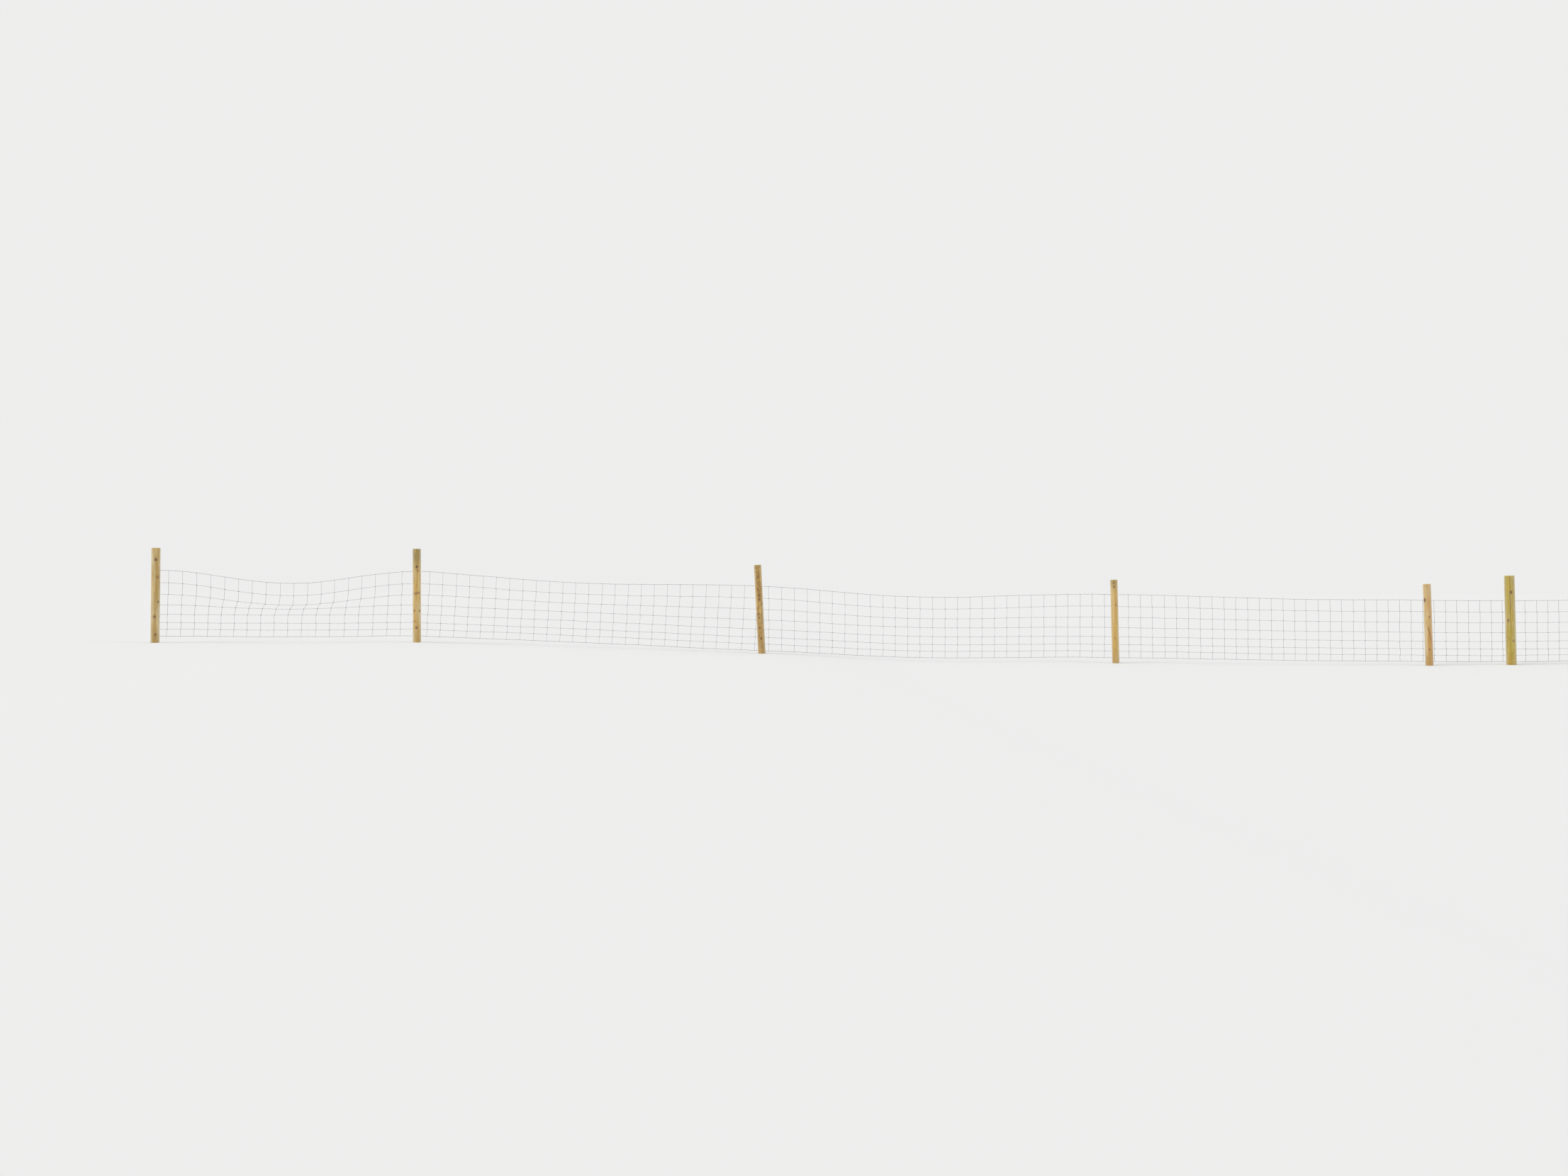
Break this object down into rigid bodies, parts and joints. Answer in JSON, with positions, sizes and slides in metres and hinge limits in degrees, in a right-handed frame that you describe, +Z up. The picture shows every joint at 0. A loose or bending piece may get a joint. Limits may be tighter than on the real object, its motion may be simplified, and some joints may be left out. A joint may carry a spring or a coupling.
{
  "type": "post and wire netting fence",
  "caption": "Stock fence of round peeled softwood posts with woven wire netting on their far side, following uneven ground.",
  "frame": {"origin": "centre of the foot of post_5, which stands lowest", "axes": "+X along the fence, to the right as the picture shows it; +Y through the fence to the netting side, away from the picture's camera; +Z up"},
  "size_m": [17.2545, 0.1168, 1.4053],
  "materials": {
    "post_wood": "peeled round softwood, weathered golden tan, with knots, drying cracks and some green algae",
    "strainer_wood": "peeled round softwood, mustard yellow with a green cast, with knots and a long drying crack",
    "galvanised_wire": "dull zinc-coated steel wire"
  },
  "bodies": {
    "root": {"post_1": "post_wood", "post_2": "post_wood", "post_3": "post_wood", "post_4": "post_wood", "post_5": "post_wood", "strainer_post": "strainer_wood", "post_7": "post_wood", "netting_bay_1": "galvanised_wire", "netting_bay_2": "galvanised_wire", "netting_bay_3": "galvanised_wire", "netting_bay_4": "galvanised_wire", "netting_bay_5": "galvanised_wire", "netting_bay_6": "galvanised_wire"}
  },
  "joints": []
}
